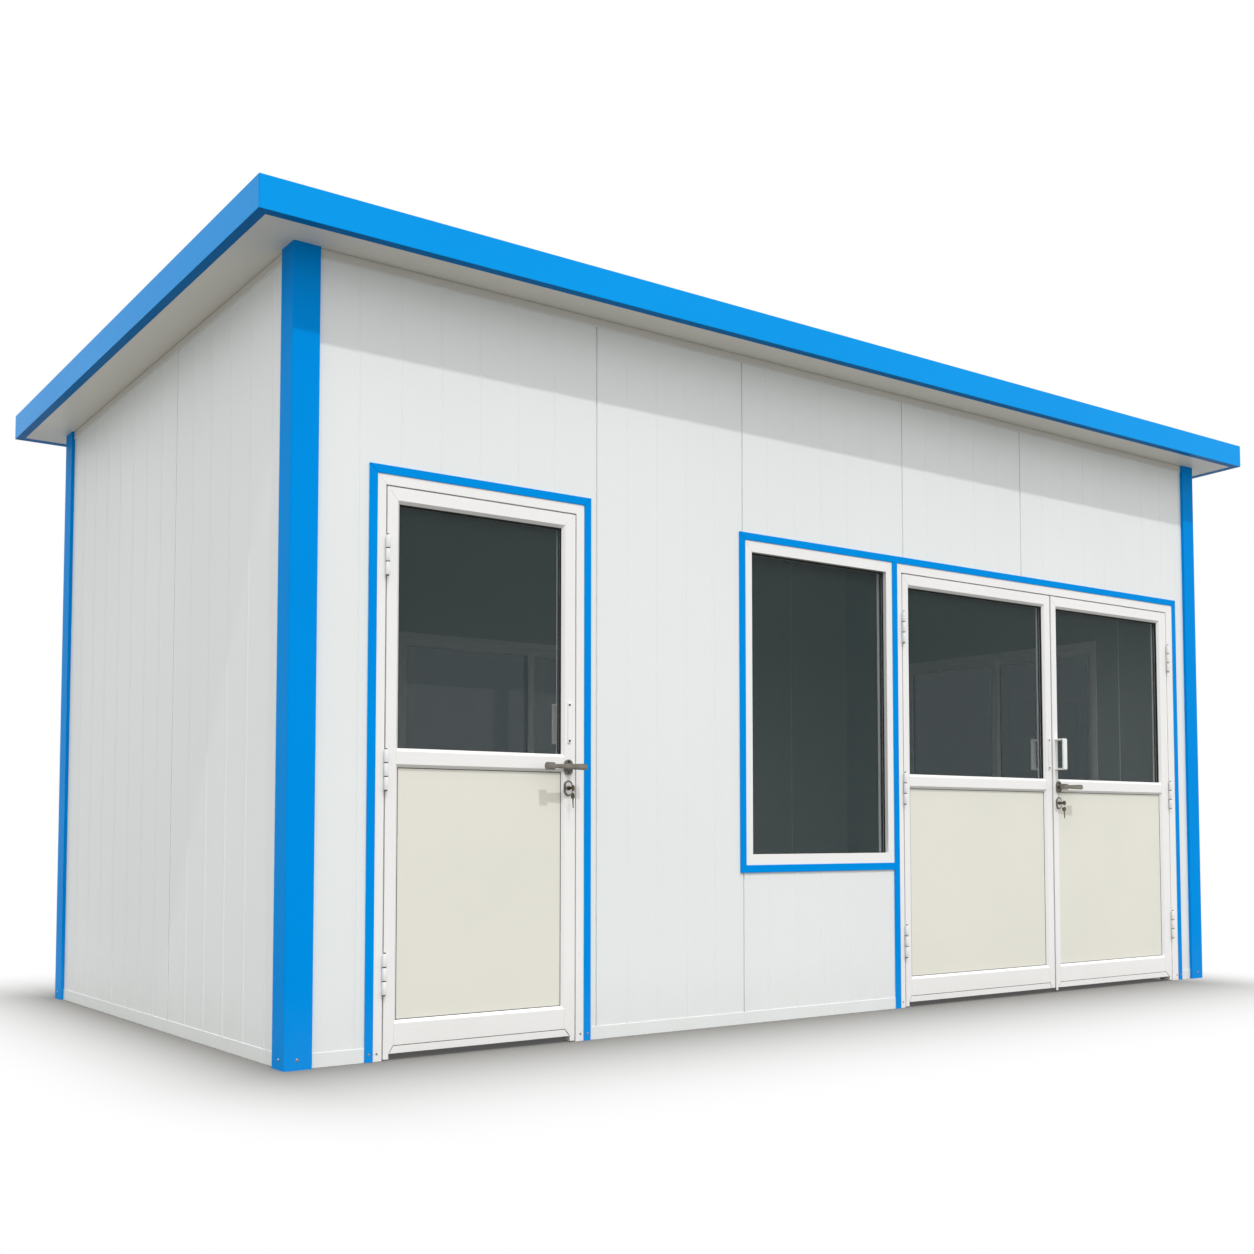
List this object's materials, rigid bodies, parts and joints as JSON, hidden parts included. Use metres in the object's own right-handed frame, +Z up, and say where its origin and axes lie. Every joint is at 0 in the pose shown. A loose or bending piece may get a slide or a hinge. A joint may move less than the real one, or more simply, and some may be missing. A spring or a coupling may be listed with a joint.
{
  "type": "security guard booth",
  "caption": "White sandwich-panel guard booth with blue corner posts, roof edge and trim, a glazed hinged door, a hinged pair of glazed doors with lever handles, and windows.",
  "frame": {"origin": "on the ground under the middle of the booth's outline", "axes": "+X along the front to the right as seen from outside, front faces -Y, +Z up"},
  "size_m": [5.69, 3.04, 2.9215],
  "materials": {
    "white_sheet": "satin white coated sheet",
    "blue_sheet": "satin blue coated sheet",
    "white_frame": "smooth white frame profile",
    "cream_panel": "matt cream infill",
    "tinted_glass": "clear dark tint",
    "brushed_metal": "brushed"
  },
  "bodies": {
    "booth": {"base_channels": "white_sheet", "front_left_wall": "white_sheet", "wall_over_door": "white_sheet", "front_middle_wall": "white_sheet", "wall_under_window": "white_sheet", "wall_over_window_and_doors": "white_sheet", "front_right_wall": "white_sheet", "left_wall": "white_sheet", "right_wall_sides": "white_sheet", "right_wall_over_window": "white_sheet", "right_wall_under_window": "white_sheet", "back_wall_sides": "white_sheet", "back_wall_over_window": "white_sheet", "back_wall_under_window": "white_sheet", "roof_panel": "white_sheet", "wall_top_trim": "white_sheet", "corner_posts": "blue_sheet", "roof_fascias": "blue_sheet", "door_trim": "blue_sheet", "window_and_doors_trim": "blue_sheet", "mullion_post": "blue_sheet", "door_frame": "white_frame", "double_door_frame": "white_frame", "front_window_frame": "white_frame", "end_window_frame": "white_frame", "back_window_frame": "white_frame", "sliding_sashes": "white_frame", "window_panes": "tinted_glass", "frame_hinge_knuckles": "white_frame"},
    "door": {"door_leaf": "white_frame", "door_glass": "tinted_glass", "door_panel": "cream_panel", "door_hinge_knuckles": "white_frame", "door_pulls": "white_frame", "door_lock": "brushed_metal"},
    "door_lever": {"door_lever": "brushed_metal"},
    "left_leaf": {"left_leaf": "white_frame", "left_leaf_glass": "tinted_glass", "left_leaf_panel": "cream_panel", "left_leaf_hinge_knuckles": "white_frame", "left_leaf_pulls": "white_frame"},
    "right_leaf": {"right_leaf": "white_frame", "right_leaf_glass": "tinted_glass", "right_leaf_panel": "cream_panel", "right_leaf_hinge_knuckles": "white_frame", "right_leaf_pulls": "white_frame", "right_leaf_lock": "brushed_metal"},
    "right_leaf_lever": {"right_leaf_lever": "brushed_metal"}
  },
  "joints": [
    {"name": "door_swing", "type": "hinge", "parent": "booth", "child": "door", "pos_m": [-2.284, -1.348, 1.008], "axis": [0, 0, -1], "range_deg": [0, 160]},
    {"name": "left_leaf_swing", "type": "hinge", "parent": "booth", "child": "left_leaf", "pos_m": [0.33, -1.348, 1.008], "axis": [0, 0, -1], "range_deg": [0, 160]},
    {"name": "right_leaf_swing", "type": "hinge", "parent": "booth", "child": "right_leaf", "pos_m": [2.385, -1.348, 1.008], "axis": [0, 0, 1], "range_deg": [0, 160]},
    {"name": "door_lever_turn", "type": "hinge", "parent": "door", "child": "door_lever", "pos_m": [-1.512, -1.338, 1.037], "axis": [0, -1, 0], "range_deg": [0, 40], "stiffness_Nm_per_rad": 2, "springref_deg": -22.92},
    {"name": "right_leaf_lever_turn", "type": "hinge", "parent": "right_leaf", "child": "right_leaf_lever", "pos_m": [1.444, -1.338, 1.015], "axis": [0, 1, 0], "range_deg": [0, 40], "stiffness_Nm_per_rad": 2, "springref_deg": -22.92}
  ]
}
